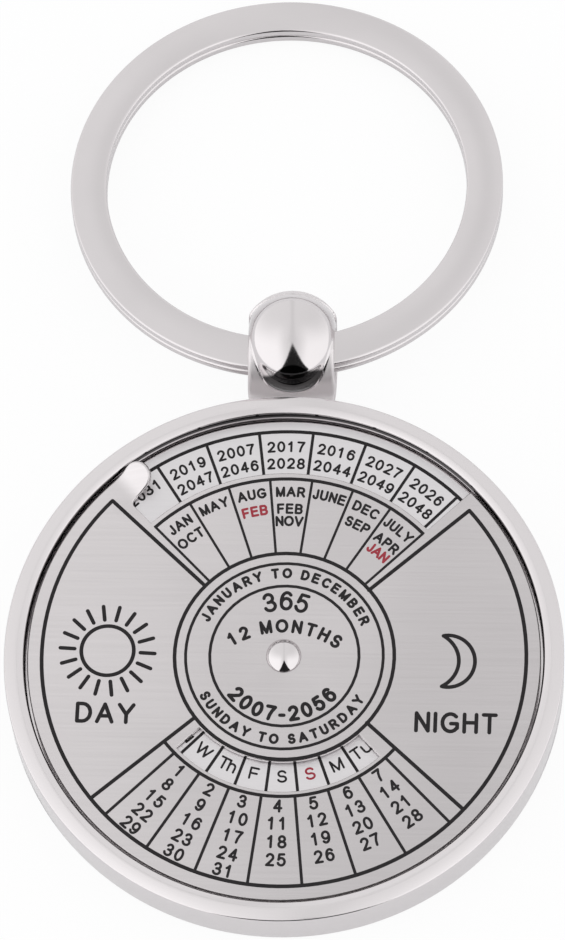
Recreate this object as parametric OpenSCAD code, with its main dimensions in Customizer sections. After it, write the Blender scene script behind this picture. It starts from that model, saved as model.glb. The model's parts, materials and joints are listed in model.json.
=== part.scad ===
// Perpetual calendar keyring: a die-cast case with a domed bezel and a ball lug, a fixed
// scale disc, a dial plate that turns on a shoulder rivet, and a flat split ring.
// The back face lies on Z = 0, the dial faces +Z, and the lug and the ring point along +Y.

/* [Case] */
// Outer diameter of the case
case_d = 40; // [38:0.5:44]
// Width of the bezel between the recess and the outer wall
bezel_w = 1.5; // [1.3:0.1:2.2]
// Thickness of the cast floor under the scale disc
floor_t = 2.3; // [2:0.1:3]
// Height of the outer rim edge over the dial's face
rim_rise = 0.25; // [0.1:0.01:0.35]
// Height of the bezel's crown over the dial's face
crown_rise = 0.55; // [0.5:0.05:0.8]
// Height of the recess lip over the dial's face
lip_rise = 0.31; // [0.2:0.01:0.4]
// Distance of the crown's crease from the recess wall
crown_in = 0.6; // [0.4:0.05:0.8]
// Width of the steep lip inside the crown
lip_in = 0.13; // [0.05:0.01:0.2]
// Radius of the bezel's convex bands
band_r = 5.4; // [2:0.1:9]
// Radius of the round edge at the back
back_edge = 0.3; // [0.1:0.05:0.6]

/* [Lug] */
// Radius of the lug's ball
lug_r = 3.75; // [3.6:0.05:4.2]
// Distance of the ball's centre from the case wall
lug_reach = 3.92; // [3.9:0.01:5]
// Height of the ball's centre over the back face
lug_z = 4.5; // [4:0.1:5]
// Width between the lug's flat sides
lug_w = 6.4; // [6:0.1:6.8]
// Wall of the drum around the cross hole
drum_wall = 0.2; // [0.2:0.05:0.6]
// Radius of the round edge on the drum
drum_edge = 0.3; // [0.1:0.05:0.35]
// Radius of the cross hole
hole_r = 2.0; // [2:0.05:2.3]
// Distance of the cross hole from the ball's centre, towards the case
hole_back = 0.86; // [0.6:0.02:0.9]
// Distance of the cross hole under the ball's centre
hole_drop = 0.2; // [0:0.05:0.25]
// Width of the neck where it meets the case
neck_w = 5.9; // [5:0.1:6.4]
// Height of the neck's top over the back face
neck_top = 3.05; // [2.7:0.05:3.4]
// Height of the neck's underside over the back face
neck_lift = 0.6; // [0.4:0.1:1]

/* [Scale disc] */
// Thickness of the scale disc
disc_t = 0.5; // [0.4:0.05:0.8]
// Radial gap between the scale disc and the recess wall
disc_gap = 0.2; // [0.1:0.05:0.4]
// Thickness of the adhesive ring under the disc
tape_t = 0.15; // [0.1:0.05:0.3]
// Inner radius of the adhesive ring
tape_in = 8; // [5:0.5:12]
// Distance of the adhesive ring from the disc's edge
tape_edge = 0.8; // [0.5:0.1:2]

/* [Dial plate] */
// Thickness of the dial plate
dial_t = 0.4; // [0.3:0.05:0.6]
// Radial gap between the dial plate and the recess wall
dial_gap = 0.15; // [0.1:0.01:0.3]
// Turn of the dial plate as it rests, in degrees
dial_turn = -0.7; // [-180:0.1:180]
// Half the angle of the year notch, in degrees
notch_half = 45; // [30:1:48]
// Width of the year notch, from the dial's edge inwards
notch_w = 4.25; // [3.5:0.05:5]
// Inner radius of the weekday window
window_in = 8; // [7:0.1:8.5]
// Outer radius of the weekday window
window_out = 10.25; // [9.5:0.05:11]
// Half the angle of the weekday window, in degrees
window_half = 45; // [30:1:48]
// Turn of the weekday window from the plate's lower middle, in degrees
window_turn = -1; // [-3:0.5:3]

/* [Thumb ear] */
// Width of the bent-up ear
ear_w = 2.1; // [1.6:0.1:2.6]
// Bend radius of the ear, on its upper face
ear_bend = 2.0; // [1.2:0.1:3]
// Angle that the ear is bent up by
ear_angle = 38; // [20:1:55]
// Straight length of the ear after the bend
ear_l = 1.2; // [0.8:0.1:2]

/* [Rivet] */
// Diameter of the rivet's domed head
rivet_head_d = 2.55; // [2.3:0.05:3.5]
// Height of the rivet's domed head
rivet_head_h = 0.7; // [0.4:0.05:1]
// Diameter of the shoulder that the dial turns on
shoulder_d = 2.0; // [1.6:0.1:2.1]
// Diameter of the tail that goes through the scale disc
tail_d = 1.3; // [1:0.1:1.4]
// Diameter of the upset end of the tail
upset_d = 1.9; // [1.7:0.1:2.4]
// Height of the upset end of the tail
upset_h = 0.35; // [0.2:0.05:0.6]
// Radial clearance of the dial on the shoulder
run_clear = 0.05; // [0.02:0.01:0.1]
// End play of the dial under the rivet head
end_play = 0.02; // [0.01:0.01:0.05]

/* [Washers] */
// Thickness of the friction washer under the dial
washer_t = 0.13; // [0.1:0.01:0.3]
// Outer diameter of the friction washer
washer_d = 6; // [4:0.5:9]
// Thickness of the backing washer under the scale disc
backing_t = 0.3; // [0.2:0.05:0.5]
// Outer diameter of the backing washer
backing_d = 4.2; // [3:0.1:5]

/* [Split ring] */
// Outer diameter of the split ring
ring_d = 31.9; // [28:0.1:35]
// Width of the flat wire, across the ring's face
wire_w = 2.67; // [2.4:0.01:2.8]
// Thickness of the flat wire
wire_t = 0.7; // [0.6:0.02:0.8]
// Round edge of the flat wire
wire_edge = 0.16; // [0.05:0.01:0.25]
// Gap between the ring's two turns
turn_gap = 0.04; // [0.03:0.01:0.1]
// Sideways place of the loose ring in the lug
ring_side = -0.85; // [-1.2:0.05:1.2]
// Gap between the ring's near edge and the hole's wall
ring_gap = 0.39; // [0.35:0.01:0.5]
// Length of the step from one turn to the other
step_l = 4; // [3:0.1:6]
// Angle of the step, seen from the near end of the ring, in degrees
step_at = 3; // [-6:0.5:6]
// Gap between the step and each free end, in degrees
end_gap = 1.5; // [0.5:0.1:3]

/* [Hidden] */
$fn = 96;
eps = 0.01;

case_r = case_d / 2;
recess_r = case_r - bezel_w;
disc_bottom = floor_t + tape_t;
disc_top = disc_bottom + disc_t;
dial_bottom = disc_top + washer_t + end_play;
dial_top = dial_bottom + dial_t;
dial_r = recess_r - dial_gap;
disc_r = recess_r - disc_gap;
rim_z = dial_top + rim_rise;
crown_z = dial_top + crown_rise;
lip_z = dial_top + lip_rise;
notch_in = dial_r - notch_w;
window_mid = 270 + window_turn;

bore_r = shoulder_d / 2 + run_clear;
head_base = dial_top + end_play;
head_ball = (pow(rivet_head_d / 2, 2) + pow(rivet_head_h, 2)) / (2 * rivet_head_h);
upset_bottom = disc_bottom - backing_t - upset_h;
pocket_clear = 0.25;
pocket_r = backing_d / 2 + pocket_clear;
pocket_floor = upset_bottom - pocket_clear;

lug_y = case_r + lug_reach;
hole_y = lug_y - hole_back;
hole_z = lug_z - hole_drop;
wall_root = 1;

ring_r = ring_d / 2;
ring_in = ring_r - wire_w;
ring_t = 2 * wire_t + turn_gap;
table_clear = 0.02;
ring_tilt = asin((lug_z - ring_t / 2 - table_clear) / (2 * ring_r));
ring_z = ring_r * sin(ring_tilt) + ring_t / 2 * cos(ring_tilt) + table_clear;
ring_y = hole_y - hole_r + ring_gap + ring_r * cos(ring_tilt);
step_half = step_l / (2 * (ring_in + wire_w / 2)) * 180 / PI;
step_mid = 270 + step_at;

// A flat shape's round bulge on the left of the line from p to q, with the given radius
module bulge(p, q, r) {
    chord = norm(q - p);
    along = (q - p) / chord;
    left = [-along[1], along[0]];
    centre = (p + q) / 2 - left * sqrt(r * r - chord * chord / 4);
    intersection() {
        translate(centre) circle(r = r);
        polygon([p, q, q + left * chord, p + left * chord]);
    }
}

// A pie slice of the given radius, from one angle to another
module slice(r, from, to) {
    middle = (from + to) / 2;
    far = r / cos((to - from) / 4);
    polygon([[0, 0], far * [cos(from), sin(from)], far * [cos((from + middle) / 2), sin((from + middle) / 2)],
             far * [cos((to + middle) / 2), sin((to + middle) / 2)], far * [cos(to), sin(to)]]);
}

// Half of the case's section: floor with the rivet pocket, wall and convex bezel
module case_section() {
    crown = [recess_r + crown_in, crown_z];
    rim = [case_r, rim_z];
    lip = [recess_r + lip_in, lip_z];
    edge = [case_r - back_edge, back_edge];
    polygon([[0, 0], [edge[0], 0], edge, [case_r, back_edge], rim, crown, lip, [recess_r, dial_top],
             [recess_r, floor_t], [pocket_r, floor_t], [pocket_r, pocket_floor], [0, pocket_floor]]);
    intersection() {
        translate(edge) circle(r = back_edge);
        translate([edge[0], 0]) square(back_edge);
    }
    bulge(crown, rim, band_r);
    bulge(lip, crown, band_r);
}

// A solid turned about a sideways axis from half of its section
module turned_sideways(y, z) {
    translate([0, y, z])
        rotate([0, 90, 0]) rotate_extrude() children();
}

// The lug: a ball with flat sides, a drum around the hole, and a neck from the wall
module lug() {
    half = lug_w / 2;
    drum_r = hole_r + drum_wall;
    root_y = case_r - wall_root;
    turned_sideways(lug_y, lug_z)
        intersection() {
            circle(r = lug_r);
            translate([0, -half]) square([lug_r, lug_w]);
        }
    turned_sideways(hole_y, hole_z) {
        translate([0, -half]) square([drum_r - drum_edge, lug_w]);
        translate([0, drum_edge - half]) square([drum_r, lug_w - 2 * drum_edge]);
        for (x = [drum_edge - half, half - drum_edge])
            translate([drum_r - drum_edge, x]) circle(r = drum_edge);
    }
    translate([0, 0, neck_lift])
        linear_extrude(height = neck_top - neck_lift)
            polygon([[-neck_w / 2, root_y], [neck_w / 2, root_y], [neck_w / 2, case_r],
                     [half, hole_y - hole_r / 2], [half, hole_y], [-half, hole_y],
                     [-half, hole_y - hole_r / 2], [-neck_w / 2, case_r]]);
}

// Die-cast, plated case: floor, wall, bezel and lug in one casting
module case() {
    color("silver")
        difference() {
            union() {
                rotate_extrude() case_section();
                lug();
            }
            translate([0, hole_y, hole_z])
                rotate([0, 90, 0]) cylinder(r = hole_r, h = 4 * lug_r, center = true);
        }
}

// Ring of double-sided tape that holds the scale disc to the floor
module adhesive_ring() {
    color("ivory")
        translate([0, 0, floor_t])
            difference() {
                cylinder(r = disc_r - tape_edge, h = tape_t);
                translate([0, 0, -eps]) cylinder(r = tape_in, h = tape_t + 2 * eps);
            }
}

// Fixed disc that carries the years and the weekdays
module scale_disc() {
    color("gainsboro")
        translate([0, 0, disc_bottom])
            difference() {
                cylinder(r = disc_r, h = disc_t);
                translate([0, 0, -eps]) cylinder(r = tail_d / 2, h = disc_t + 2 * eps);
            }
}

// Washer that the rivet's tail is upset against, under the scale disc
module backing_washer() {
    color("darkgray")
        translate([0, 0, disc_bottom - backing_t])
            difference() {
                cylinder(r = backing_d / 2, h = backing_t);
                translate([0, 0, -eps]) cylinder(r = tail_d / 2, h = backing_t + 2 * eps);
            }
}

// Shoulder rivet with a domed head, upset at its tail
module rivet() {
    color("whitesmoke")
        rotate_extrude() {
            translate([0, disc_top]) square([shoulder_d / 2, head_base - disc_top]);
            translate([0, upset_bottom + upset_h]) square([tail_d / 2, disc_top - upset_bottom - upset_h]);
            translate([0, upset_bottom]) square([upset_d / 2, upset_h]);
            intersection() {
                translate([0, head_base + rivet_head_h - head_ball]) circle(r = head_ball);
                translate([0, head_base]) square([rivet_head_d, rivet_head_h]);
            }
        }
}

// Thin plastic washer that gives the dial its friction
module friction_washer() {
    color("white")
        translate([0, 0, disc_top])
            difference() {
                cylinder(r = washer_d / 2, h = washer_t);
                translate([0, 0, -eps]) cylinder(r = bore_r, h = washer_t + 2 * eps);
            }
}

// The ear's side view: flat root, bend and straight tip, along the edge of the notch
module ear_section(root) {
    bend_mid = [0, dial_t + ear_bend];
    translate([-root, 0]) square([root, dial_t]);
    intersection() {
        difference() {
            translate(bend_mid) circle(r = ear_bend + dial_t);
            translate(bend_mid) circle(r = ear_bend);
        }
        translate(bend_mid) slice(ear_bend + dial_t, -90, ear_angle - 90);
    }
    translate(bend_mid)
        rotate(ear_angle)
            translate([0, -ear_bend - dial_t]) square([ear_l, dial_t]);
}

// The ear that the dial is turned by: a round-ended tongue bent up at the notch's left end
module thumb_ear() {
    root = ear_w / 4;
    reach = (ear_bend + dial_t) * sin(ear_angle) + ear_l * cos(ear_angle);
    intersection() {
        rotate([90, 0, 0]) linear_extrude(height = ear_w, center = true) ear_section(root);
        linear_extrude(height = 4 * ear_bend) {
            translate([-root, -ear_w / 2]) square([root + reach - ear_w / 2, ear_w]);
            translate([reach - ear_w / 2, 0]) circle(r = ear_w / 2);
        }
    }
}

// Etched dial plate with the year notch, the weekday window and the thumb ear
module dial_plate() {
    ear_from = 90 + notch_half;
    color("lightgray")
        rotate([0, 0, dial_turn])
            translate([0, 0, dial_bottom]) {
                linear_extrude(height = dial_t)
                    difference() {
                        circle(r = dial_r);
                        difference() {
                            slice(dial_r + 1, 90 - notch_half, ear_from);
                            circle(r = notch_in);
                        }
                        intersection() {
                            slice(window_out + 1, window_mid - window_half, window_mid + window_half);
                            difference() {
                                circle(r = window_out);
                                circle(r = window_in);
                            }
                        }
                        circle(r = bore_r);
                    }
                rotate([0, 0, ear_from])
                    translate([dial_r - ear_w / 2, 0, 0])
                        rotate([0, 0, -90]) thumb_ear();
            }
}

// One turn of the flat wire with round edges, from one angle to another
module wire_turn(from, to) {
    rotate([0, 0, from])
        rotate_extrude(angle = to - from)
            translate([ring_in, 0]) {
                translate([wire_edge, 0]) square([wire_w - 2 * wire_edge, wire_t]);
                translate([0, wire_edge]) square([wire_w, wire_t - 2 * wire_edge]);
                for (x = [wire_edge, wire_w - wire_edge], z = [wire_edge, wire_t - wire_edge])
                    translate([x, z]) circle(r = wire_edge);
            }
}

// The step that leads the wire from the upper turn down to the lower one
module wire_step() {
    half = step_l / 2;
    low = -turn_gap / 2 - wire_t;
    high = turn_gap / 2;
    tab = wire_edge;
    intersection() {
        rotate([0, 0, step_mid])
            rotate([90, 0, 90])
                linear_extrude(height = 2 * ring_r)
                    polygon([[-half - tab, high], [-half, high], [half, low], [half + tab, low],
                             [half + tab, low + wire_t], [half, low + wire_t], [-half, high + wire_t],
                             [-half - tab, high + wire_t]]);
        difference() {
            cylinder(r = ring_r, h = 2 * ring_t, center = true);
            cylinder(r = ring_in, h = 3 * ring_t, center = true);
        }
    }
}

// Flat split ring: one wire in two turns, with a step between them and two free ends
module split_ring() {
    color("gainsboro")
        translate([ring_side, ring_y, ring_z])
            rotate([-ring_tilt, 0, 0]) {
                translate([0, 0, turn_gap / 2])
                    wire_turn(step_mid + step_half + end_gap, step_mid - step_half + 360);
                translate([0, 0, -turn_gap / 2 - wire_t])
                    wire_turn(step_mid + step_half, step_mid - step_half - end_gap + 360);
                wire_step();
            }
}

case();
adhesive_ring();
scale_disc();
backing_washer();
rivet();
friction_washer();
dial_plate();
split_ring();
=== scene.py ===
# Perpetual calendar keyring: a plated case with a domed bezel and a ball lug, a printed scale disc,
# a brushed dial plate that turns on a domed rivet, and a flat split ring.
# Sizes are in millimetres unless a name says otherwise; meshes are in metres.

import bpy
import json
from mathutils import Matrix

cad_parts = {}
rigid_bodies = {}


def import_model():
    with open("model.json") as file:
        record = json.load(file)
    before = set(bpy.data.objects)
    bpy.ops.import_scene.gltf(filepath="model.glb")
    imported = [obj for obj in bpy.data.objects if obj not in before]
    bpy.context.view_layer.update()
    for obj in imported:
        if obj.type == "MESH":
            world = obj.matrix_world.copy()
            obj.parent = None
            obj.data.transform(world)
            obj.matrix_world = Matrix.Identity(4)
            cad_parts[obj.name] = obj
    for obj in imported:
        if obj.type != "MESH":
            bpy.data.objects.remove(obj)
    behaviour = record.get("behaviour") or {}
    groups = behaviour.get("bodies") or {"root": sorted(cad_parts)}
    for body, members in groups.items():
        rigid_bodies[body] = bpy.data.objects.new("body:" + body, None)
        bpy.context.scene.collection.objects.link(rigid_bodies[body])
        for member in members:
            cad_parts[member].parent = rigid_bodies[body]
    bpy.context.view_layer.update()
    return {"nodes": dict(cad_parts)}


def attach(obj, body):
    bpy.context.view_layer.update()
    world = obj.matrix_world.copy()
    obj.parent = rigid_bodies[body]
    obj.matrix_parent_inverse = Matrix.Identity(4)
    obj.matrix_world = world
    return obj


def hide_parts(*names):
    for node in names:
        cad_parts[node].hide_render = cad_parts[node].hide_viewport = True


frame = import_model()

import calendar
import json
from math import asin, cos, degrees, pi, radians, sin, sqrt, tan, tau

import bmesh
import bpy
from mathutils import Matrix, Vector
from mathutils.geometry import delaunay_2d_cdt

MM = 0.001


# Case: one zinc die casting, nickel plated and polished. A floor with a pocket for the rivet's tail,
# a straight wall, and a bezel of two bands with a soft crease between them.
CASE_R = 20.0
RECESS_R = 18.5
FLOOR_Z = 2.3
DIAL_Z = 3.5
POCKET_R = 2.35
POCKET_Z = 1.55
RIM_Z = 3.79
CROWN = (19.1, 4.05)
LIP = (18.63, 3.91)
OUTER_BOW = 5.0
INNER_BOW = 2.0
BACK_EDGE = 0.3
RIM_EDGE = 0.22
CREASE_EDGE = 0.5
LIP_EDGE = 0.07
CASE_SEGMENTS = 256
NICKEL_BRIGHT = (0.705, 0.676, 0.683, 1.0)
NICKEL = (0.69, 0.661, 0.668, 1.0)
SKIN = (0.75, 0.719, 0.726, 1.0)
SKIN_ROUGH = 0.45
# painted shade: a near-black colour painted into the gap inside the lip and low on the ball's front, where
# shade and dark reflections fall
PAINTED_DARK = (0.02, 0.019, 0.0195, 1.0)
SMEAR_SIZE = (7.0, 5.0, 6.0)
PIT_SIZE = (0.15, 0.15, 0.15)
PIT_ROUGH = 0.03
WAVE_SIZE = (3.0, 3.0, 3.0)
PLATE_DEPTH = 0.004
CASE_ROUGH = 0.07
# painted shade: the band of the wall inside the lip, down to the dial's level, that is darkened as the gap's
# shadow
LIP_SHADE = (0.01, 0.05)
LIP_SHADE_LOW = 0.1
LIP_SHADE_SHARE = 0.92


class Feed:
    """A socket in a node tree. Sums and products of feeds add Math nodes to the tree."""

    def __init__(self, tree, socket):
        self.tree = tree
        self.socket = socket

    def node(self, kind, sockets, out=0, **settings):
        made = self.tree.nodes.new(kind)
        for name, value in settings.items():
            setattr(made, name, value)
        for name, value in sockets.items():
            if isinstance(value, Feed):
                self.tree.links.new(value.socket, made.inputs[name])
            else:
                made.inputs[name].default_value = value
        return Feed(self.tree, made.outputs[out])

    def math(self, operation, *values):
        sockets = dict(enumerate((self,) + values))
        return self.node("ShaderNodeMath", sockets, operation=operation)

    def __add__(self, other):
        return self.math("ADD", other)

    def __sub__(self, other):
        return self.math("SUBTRACT", other)

    def __rsub__(self, other):
        return self.math("MULTIPLY", -1.0).math("ADD", other)

    def __mul__(self, other):
        return self.math("MULTIPLY", other)

    __radd__ = __add__
    __rmul__ = __mul__

    def into(self, shader, name):
        self.tree.links.new(self.socket, shader.inputs[name])


def finish_of(name, values):
    """A new material, its shader with some values set, and a feed of its object coordinates."""
    material = bpy.data.materials.new(name)
    material.use_nodes = True
    tree = material.node_tree
    shader = tree.nodes["Principled BSDF"]
    for label, value in values.items():
        shader.inputs[label].default_value = value
    place = Feed(tree, tree.nodes.new("ShaderNodeTexCoord").outputs["Object"])
    return material, shader, place


def grain(place, size, detail=2.0):
    """Noise with lumps of the given length, width and height in mm."""
    scale = [1 / (side * MM) for side in size]
    spread = place.node("ShaderNodeMapping", {"Vector": place, "Scale": scale})
    return place.node("ShaderNodeTexNoise", {"Vector": spread, "Scale": 1.0, "Detail": detail})


def tinted(low, high, share):
    """A colour between two, by a feed from 0 to 1."""
    return share.node("ShaderNodeMix", {0: share, 6: low, 7: high}, 2, data_type="RGBA")


def vector_math(vector, operation, sockets, out=0):
    """A Vector Math node with a vector feed as its first input."""
    return vector.node("ShaderNodeVectorMath", {0: vector} | sockets, out, operation=operation)


def dotted(vector, way):
    """The length of a vector feed along a way."""
    return vector_math(vector, "DOT_PRODUCT", {1: way}, "Value")


def eased(value, low, high):
    """A feed that goes softly from 0 to 1 between two values of another."""
    return value.node("ShaderNodeMapRange", {"Value": value, "From Min": low, "From Max": high},
                      interpolation_type="SMOOTHSTEP")


def bumped(height, depth):
    """A surface normal for a height feed from 0 to 1, with its depth in mm."""
    return height.node("ShaderNodeBump", {"Strength": 1.0, "Distance": depth * MM, "Height": height})


def surfaced(shader, colour, gloss, normal):
    """Links a shader's colour, roughness and normal."""
    colour.into(shader, "Base Color")
    gloss.into(shader, "Roughness")
    normal.into(shader, "Normal")


def plated(name, bright, dull, rough, marks=None):
    """Polished plate: faint waves of the casting, handling smears and pin-point pits. Marks, if there are
    any, come from a function of the place: a share of unpolished skin or none, and a share of painted dark,
    which is painted shade and painted dark reflection."""
    material, shader, place = finish_of(name, {"Metallic": 1.0})
    smear = grain(place, SMEAR_SIZE, 4.0)
    pits = grain(place, PIT_SIZE)
    waves = grain(place, WAVE_SIZE, 1.0)
    colour = tinted(bright, dull, smear)
    gloss = rough + smear * rough + pits * PIT_ROUGH
    if marks:
        skin, painted_dark = marks(place)
        if skin:
            colour = tinted(colour, SKIN, skin)
            gloss = gloss + skin * SKIN_ROUGH
        # painted shade: the painted dark colour is mixed in by its share
        colour = tinted(colour, PAINTED_DARK, painted_dark)
    surfaced(shader, colour, gloss, bumped(waves * 0.8 + pits * 0.05, PLATE_DEPTH))
    return material


def filleted(corners, steps=6):
    """A flat line through corners of (x, y), or of (x, y, radius) for a rounded one."""
    line = []
    for i, (x, y, *rounding) in enumerate(corners):
        here = Vector((x, y))
        if not rounding:
            line.append(here)
            continue
        radius = rounding[0]
        back = (Vector(corners[i - 1][:2]) - here).normalized()
        on = (Vector(corners[i + 1][:2]) - here).normalized()
        half = back.angle(on) / 2
        centre = here + (back + on).normalized() * radius / sin(half)
        start = here + back * radius / tan(half) - centre
        end = here + on * radius / tan(half) - centre
        line += [centre + start.slerp(end, k / steps) * radius for k in range(steps + 1)]
    return line


def bowed(start, end, radius, steps=10):
    """Points between two others on an arc that bows to the right of the way from start to end."""
    p = Vector(start)
    q = Vector(end)
    chord = q - p
    right = Vector((chord.y, -chord.x)).normalized()
    centre = (p + q) / 2 - right * sqrt(radius ** 2 - chord.length_squared / 4)
    return [centre + (p - centre).slerp(q - centre, k / steps) * radius for k in range(1, steps)]


def spun(name, line, count):
    """A solid turned about Z from a flat line of (radius, height) that starts and ends on the axis."""
    work = bmesh.new()
    rings = []
    for r, z in line:
        if r == 0:
            rings.append([work.verts.new((0, 0, z * MM))])
            continue
        ring = []
        for k in range(count):
            turn = tau * k / count
            ring.append(work.verts.new((r * MM * cos(turn), r * MM * sin(turn), z * MM)))
        rings.append(ring)
    for low, high in zip(rings, rings[1:]):
        for k in range(count):
            corners = (low[k % len(low)], low[(k + 1) % len(low)],
                       high[(k + 1) % len(high)], high[k % len(high)])
            work.faces.new(dict.fromkeys(corners))
    return plain_mesh(name, work)


def plain_mesh(name, work, sharp=30):
    """A smooth-shaded mesh from a bmesh, with edges over the given angle left sharp."""
    mesh = bpy.data.meshes.new(name)
    work.to_mesh(mesh)
    work.free()
    mesh.shade_smooth()
    mesh.set_sharp_from_angle(angle=radians(sharp))
    return mesh


def piece(mesh, material):
    """The object of a finished mesh, at the origin, with its one material."""
    mesh.materials.clear()
    mesh.materials.append(material)
    thing = bpy.data.objects.new(mesh.name, mesh)
    bpy.context.scene.collection.objects.link(thing)
    return thing


outer_band = bowed((CASE_R, RIM_Z), CROWN, OUTER_BOW)
inner_band = bowed(CROWN, LIP, INNER_BOW)
case_line = filleted([
    (0, 0), (CASE_R, 0, BACK_EDGE), (CASE_R, RIM_Z, RIM_EDGE), *outer_band, (*CROWN, CREASE_EDGE),
    *inner_band, (*LIP, LIP_EDGE), (RECESS_R, DIAL_Z), (RECESS_R, FLOOR_Z), (POCKET_R, FLOOR_Z),
    (POCKET_R, POCKET_Z), (0, POCKET_Z)])
case_mesh = spun("case_shell", case_line, CASE_SEGMENTS)


def case_marks(place):
    """All is polished, and painted shade darkens the wall inside the lip, where the gap beside the dial falls
    into shadow.
    """
    flat = vector_math(place, "MULTIPLY", {1: (1 / MM, 1 / MM, 0.0)})
    radius = vector_math(flat, "LENGTH", {}, "Value")
    height = dotted(place, (0.0, 0.0, 1 / MM))
    inside = eased(radius, LIP[0] - LIP_SHADE[0], LIP[0] - LIP_SHADE[1])
    # painted shade: the share of painted dark on the wall inside the lip
    return None, inside * eased(height, DIAL_Z - LIP_SHADE_LOW, DIAL_Z) * LIP_SHADE_SHARE


case_finish = plated("case_nickel", NICKEL_BRIGHT, NICKEL, CASE_ROUGH, case_marks)
case_shell = piece(case_mesh, case_finish)
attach(case_shell, "case")
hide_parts("case")


# Lug: cast in one with the case. A ball with flat sides, a full polished front and a leaning collar behind
# it, and a drum around the cross hole that runs into a neck from the wall; soft edges from the mould.
LUG = {
    "Ball y": 23.92, "Ball z": 4.5, "Collar radius": 3.78, "Collar half width": 3.2, "Collar lean": 0.65,
    "Collar start": 1.5, "Front radius": 3.6, "Front half width": 3.15, "Front tilt x": 0.044,
    "Front tilt y": -0.38, "Front tilt z": 0.924, "Hole y": 23.06, "Hole z": 4.3, "Hole radius": 2.0,
    "Drum radius": 2.4, "Neck half width": 2.95, "Neck flare": 0.12, "Neck bottom": 0.6, "Neck top": 3.05,
    "Case radius": CASE_R,
}
SOFT = {
    "collar face": 0.06, "collar side": 0.3, "front side": 0.6, "step": 0.04, "drum side": 0.5,
    "neck side": 0.2, "neck edge": 0.5, "root": 3.0, "root side": 0.4, "foot": 0.1, "hole": 0.12,
}
LUG_LOW = (-3.6, 18.6, 0.2)
LUG_HIGH = (3.6, 28.2, 8.6)
LUG_VOXEL = 0.066
FRONT_POWER = 2.4
SOLID_LEVEL = 5.0
LUG_ROUGH = 0.04
NICKEL_DULL = (0.63, 0.603, 0.61, 1.0)
POLISH_EDGE = (0.06, 0.15)
# FOOT values place the painted shade low on the ball's front: a painted dark reflection, and how dark it is
FOOT_ASIDE = 0.2
FOOT_BOW = 0.35
FOOT_LEAN = 0.13
FOOT_MIDDLE = (1.6, 1.75)
FOOT_SIDES = (2.05, 2.35)
FOOT_EDGE = (0.04, 0.01)
FOOT_PAINTED_DARK_SHARE = 0.97


def shape_tree(name, inputs):
    """A new Geometry Nodes tree with named inputs, and a feed for each of them."""
    tree = bpy.data.node_groups.new(name, "GeometryNodeTree")
    tree.interface.new_socket("Mesh", in_out="OUTPUT", socket_type="NodeSocketGeometry")
    for label, kind in inputs.items():
        tree.interface.new_socket(label, in_out="INPUT", socket_type="NodeSocket" + kind)
    entry = tree.nodes.new("NodeGroupInput")
    return tree, {label: Feed(tree, entry.outputs[label]) for label in inputs}


def tree_end(shape, material):
    """The end of a tree: single parts made real, with a material."""
    real = shape.node("GeometryNodeRealizeInstances", {"Geometry": shape})
    coated = real.node("GeometryNodeSetMaterial", {"Geometry": real, "Material": material})
    leave = shape.tree.nodes.new("NodeGroupOutput")
    shape.tree.links.new(coated.socket, leave.inputs[0])


def grown(tree, name, values, start=None):
    """The plain mesh that a tree makes from its input values."""
    holder = bpy.data.objects.new("holder", start or bpy.data.meshes.new("empty"))
    bpy.context.scene.collection.objects.link(holder)
    modifier = holder.modifiers.new("shape", "NODES")
    modifier.node_group = tree
    for item in tree.interface.items_tree:
        if item.in_out == "INPUT" and item.name in values:
            modifier[item.identifier] = values[item.name]
    graph = bpy.context.evaluated_depsgraph_get()
    mesh = bpy.data.meshes.new_from_object(holder.evaluated_get(graph))
    bpy.data.objects.remove(holder)
    mesh.name = name
    return mesh


def part_of(vector, axis):
    """One of the three numbers of a vector feed."""
    return vector.node("ShaderNodeSeparateXYZ", {"Vector": vector}, axis)


def reach(*sides):
    """The length of a vector of feeds."""
    total = sides[0] * sides[0]
    for side in sides[1:]:
        total = total + side * side
    return total.math("SQRT")


def swollen(far, ahead):
    """The distance from the ball's middle in a measure that makes its front fuller than a sphere."""
    on = ahead.math("MAXIMUM", 0.0)
    across = (far * far - on * on).math("MAXIMUM", 0.0)
    total = across.math("POWER", FRONT_POWER / 2) + on.math("POWER", FRONT_POWER)
    return total.math("POWER", 1 / FRONT_POWER)


lug_tree, lug = shape_tree("lug_casting", dict.fromkeys(LUG, "Float") | {"Finish": "Material"})
spot = lug["Ball y"].node("GeometryNodeInputPosition", {})
side = part_of(spot, 0)
x = side.math("ABSOLUTE")
y = part_of(spot, 1)
z = part_of(spot, 2)
ball_y = y - lug["Ball y"]
ball_z = z - lug["Ball z"]
far = reach(x, ball_y, ball_z)
ahead = side * lug["Front tilt x"] + ball_y * lug["Front tilt y"] + ball_z * lug["Front tilt z"]
wide = x - lug["Collar half width"]
below = ball_z * lug["Front tilt y"] - ball_y * lug["Front tilt z"]
face = ahead + (below + lug["Collar start"]) * lug["Collar lean"]
collar = (far - lug["Collar radius"]).math("SMOOTH_MAX", face, SOFT["collar face"])
collar = collar.math("SMOOTH_MAX", wide, SOFT["collar side"])
front = swollen(far, ahead) - lug["Front radius"]
front = front.math("SMOOTH_MAX", x - lug["Front half width"], SOFT["front side"])
ball = collar.math("SMOOTH_MIN", front, SOFT["step"])
from_hole = reach(y - lug["Hole y"], z - lug["Hole z"])
drum = (from_hole - lug["Drum radius"]).math("SMOOTH_MAX", wide, SOFT["drum side"])
flank = x - lug["Neck half width"] - (y - lug["Case radius"]) * lug["Neck flare"]
neck = flank.math("SMOOTH_MAX", wide, SOFT["neck side"])
for edge in (lug["Neck bottom"] - z, z - lug["Neck top"]):
    neck = neck.math("SMOOTH_MAX", edge, SOFT["neck edge"])
neck = neck.math("MAXIMUM", y - lug["Hole y"])
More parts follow.
